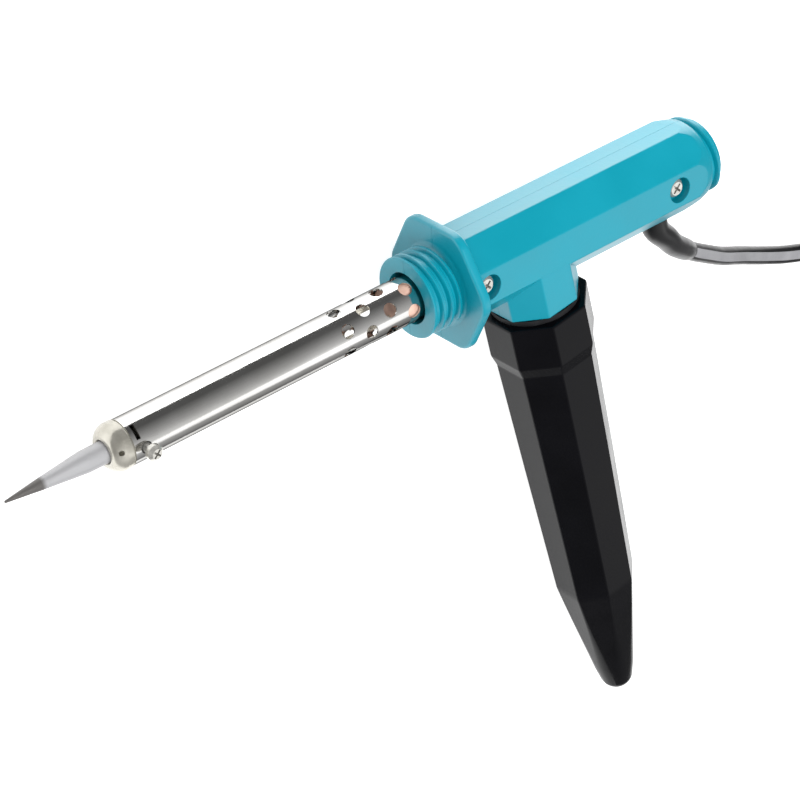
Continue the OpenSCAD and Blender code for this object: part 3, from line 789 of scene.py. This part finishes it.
def nosePiece():
    # Turned bush: domed face, a fine groove where it meets the tube, bored for the tip
    front, back, radius, bore = noseBush["front"], noseBush["back"], noseBush["radius"], noseBush["bore"]
    profile = [(front - noseBush["boreDepth"], bore), (front - 0.3, bore), (front, bore + 0.25)]
    profile += [(front - behind, radius - inset) for behind, inset in noseBush["nose"]]
    profile += [(back + ahead, radius - inset) for ahead, inset in noseBush["groove"]]
    shape = bmesh.new()
    addLathe(shape, profile, onBarrel)
    turn = math.radians(noseBush["holeTurn"])

    def toHole(station, u, v):
        return Vector((noseBush["holeAt"] + u, station * math.sin(turn) + v * math.cos(turn),
                       station * math.cos(turn) - v * math.sin(turn)))

    drill = bmesh.new()
    addLathe(drill, [(radius - 3.2, noseBush["hole"]), (radius + 2, noseBush["hole"])], toHole, 32)
    return finishShape(subtract(shape, drill), "noseBushTurned", nickel, "handle", 28)


noseMesh = nosePiece()
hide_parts("nose_bush")
print("nose bush built")


# CAD pieces that keep their shape

for name, material in (
    ("shell_screws", zinc), ("barrel", chrome), ("barrel_plate", zinc), ("heater_core", ceramic),
    ("heater_winding", heaterWire), ("mica_sleeve", mica), ("terminal_block", ceramic),
    ("lead_wires", glassSleeve), ("crimps", zinc), ("cord_clamp", fibreBoard), ("clamp_screws", zinc),
    ("core_wires", coreVinyl), ("tip", tipMetal), ("tip_screw", zinc), ("grip_ring", blackRubber),
):
    giveFinish(name, material)
print("finishes given")


# Floor and light

# Pale floor with painted light: it glows, dimmer under the tool where the glow fills in the tool's shadows,
# brightest beyond the barrel's side as a painted glow that the facets and chrome reflect
floorLook = {
    "color": "#b4b4b4",
    "half": 4,  # metres
    "glow": (0.9, 3.2),
    "edgeX": (-0.035, -0.06),  # metres; the glow grows from the first to the second
    "edgeY": (-0.088, -0.118),
}
floorMaterial, floorTree, floorSurface, floorPlace = newMaterial("paintedGlowFloor", {
    "Base Color": linearColor(floorLook["color"]), "Roughness": 0.9,
    "Emission Color": linearColor("#ffffff"),
})
acrossFloor = addNode(floorTree, "ShaderNodeSeparateXYZ", {}, {"Vector": floorPlace})
fades = [addNode(floorTree, "ShaderNodeMapRange",
                 {"interpolation_type": "SMOOTHSTEP", "From Min": floorLook["edge" + axis][0],
                  "From Max": floorLook["edge" + axis][1]}, {"Value": acrossFloor.outputs[axis]})
         for axis in "XY"]
beyond = addNode(floorTree, "ShaderNodeMath", {"operation": "MULTIPLY"},
                 {0: fades[0].outputs["Result"], 1: fades[1].outputs["Result"]})
glow = addNode(floorTree, "ShaderNodeMapRange",
               {"To Min": floorLook["glow"][0], "To Max": floorLook["glow"][1]},
               {"Value": beyond.outputs["Value"]})
# The floor's emission is painted light, not a lamp
floorTree.links.new(glow.outputs["Result"], floorSurface.inputs["Emission Strength"])
half = floorLook["half"]
floorMesh = bpy.data.meshes.new("floor")
floorMesh.from_pydata([(-half, -half, 0), (half, -half, 0), (half, half, 0), (-half, half, 0)], [],
                      [(0, 1, 2, 3)])
floorMesh.materials.append(floorMaterial)
floor = bpy.data.objects.new("floor", floorMesh)
bpy.context.scene.collection.objects.link(floor)

# Studio room: dim walls that brighten towards an overhead bank, with one soft window
room = {
    "up": (0.0, 0.45, 0.89),
    "steps": ((0.1, 0.1), (0.4, 0.2), (0.62, 0.3), (0.8, 0.43), (0.88, 0.55), (1.0, 0.75)),
    "window": (-0.55, 0.51, 0.67),
    "windowEdge": (0.955, 0.985),  # cosines of the angles where its edge begins and ends
    "windowGlow": 0.9,
}
world = bpy.data.worlds.new("studio")
world.use_nodes = True
worldTree = world.node_tree
ahead = addNode(worldTree, "ShaderNodeTexCoord").outputs["Generated"]
upward = addNode(worldTree, "ShaderNodeVectorMath", {"operation": "DOT_PRODUCT", 1: room["up"]}, {0: ahead})
walls = addNode(worldTree, "ShaderNodeValToRGB", {}, {"Fac": upward.outputs["Value"]})
for i, (place, shade) in enumerate(room["steps"]):
    stop = walls.color_ramp.elements[i] if i < 1 else walls.color_ramp.elements.new(place)
    stop.position = place
    stop.color = (shade, shade, shade, 1)
walls.color_ramp.elements.remove(walls.color_ramp.elements[-1])
towards = addNode(worldTree, "ShaderNodeVectorMath", {"operation": "DOT_PRODUCT", 1: room["window"]},
                  {0: ahead})
pane = addNode(worldTree, "ShaderNodeMapRange",
               {"interpolation_type": "SMOOTHSTEP", "From Min": room["windowEdge"][0],
                "From Max": room["windowEdge"][1], "To Max": room["windowGlow"]},
               {"Value": towards.outputs["Value"]})
roomLight = addNode(worldTree, "ShaderNodeVectorMath", {"operation": "ADD"},
                    {0: walls.outputs["Color"], 1: pane.outputs["Result"]})
worldTree.links.new(roomLight.outputs["Vector"], worldTree.nodes["Background"].inputs["Color"])
bpy.context.scene.world = world

lights = (
    {"name": "keyBank", "place": (0.05, -0.5, 1.5), "aim": (-0.03, 0, 0), "size": (0.9, 0.9), "watts": 33},
    {"name": "fillBank", "place": (0.9, 0.2, 0.9), "aim": (-0.03, 0, 0), "size": (0.8, 0.8), "watts": 9},
)
for light in lights:
    data = bpy.data.lights.new(light["name"], "AREA")
    data.shape = "RECTANGLE"
    data.size, data.size_y = light["size"]
    data.energy = light["watts"]
    lamp = bpy.data.objects.new(light["name"], data)
    lamp.location = light["place"]
    lamp.rotation_euler = (Vector(light["aim"]) - Vector(light["place"])).to_track_quat("-Z", "Y").to_euler()
    lamp.visible_glossy = False
    bpy.context.scene.collection.objects.link(lamp)
print("floor and lights set")
